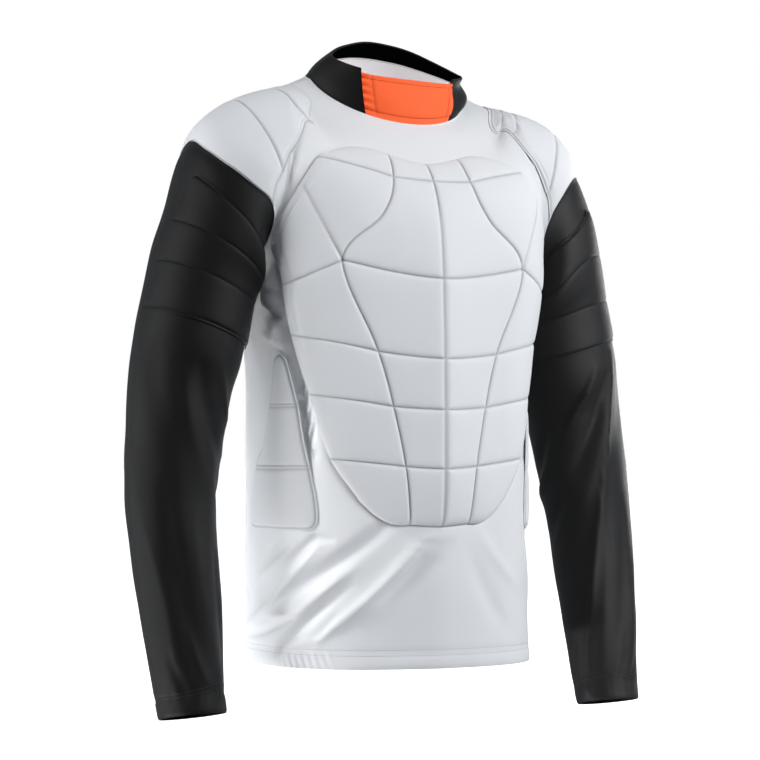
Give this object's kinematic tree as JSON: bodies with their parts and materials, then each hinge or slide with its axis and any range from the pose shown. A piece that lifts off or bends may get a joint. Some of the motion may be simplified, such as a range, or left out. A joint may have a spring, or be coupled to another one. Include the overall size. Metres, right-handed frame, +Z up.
{
  "type": "protective vest",
  "caption": "Long-sleeved padded protective vest in white and black knit, hollow as if worn, with quilted pads on chest, flanks, shoulders and upper arms and a stand-up collar.",
  "frame": {"origin": "middle of the neck's base, level with the shoulders, where the wearer's shoulders carry the garment", "axes": "+Z up, the front faces -Y, and the wearer's left arm is on +X"},
  "size_m": [0.668, 0.2529, 0.8024],
  "materials": {
    "white_knit": "smooth white sports knit with a soft sheen",
    "white_pad": "white knit over moulded foam, stitched in quilting lines",
    "black_knit": "smooth black sports knit",
    "black_pad": "black knit over thin foam, stitched in quilting lines",
    "orange_knit": "matt orange knit"
  },
  "bodies": {
    "root": {"front_body": "white_knit", "back_body": "white_knit", "shoulder_cap_right": "white_knit", "shoulder_cap_left": "white_knit", "sleeve_right": "black_knit", "sleeve_left": "black_knit", "collar_band": "black_knit", "collar_front": "orange_knit", "chest_pad": "white_pad", "side_pad_right": "white_pad", "side_pad_left": "white_pad", "shoulder_pad_right": "white_pad", "shoulder_pad_left": "white_pad", "arm_pad_right": "black_pad", "arm_pad_left": "black_pad"}
  },
  "joints": []
}
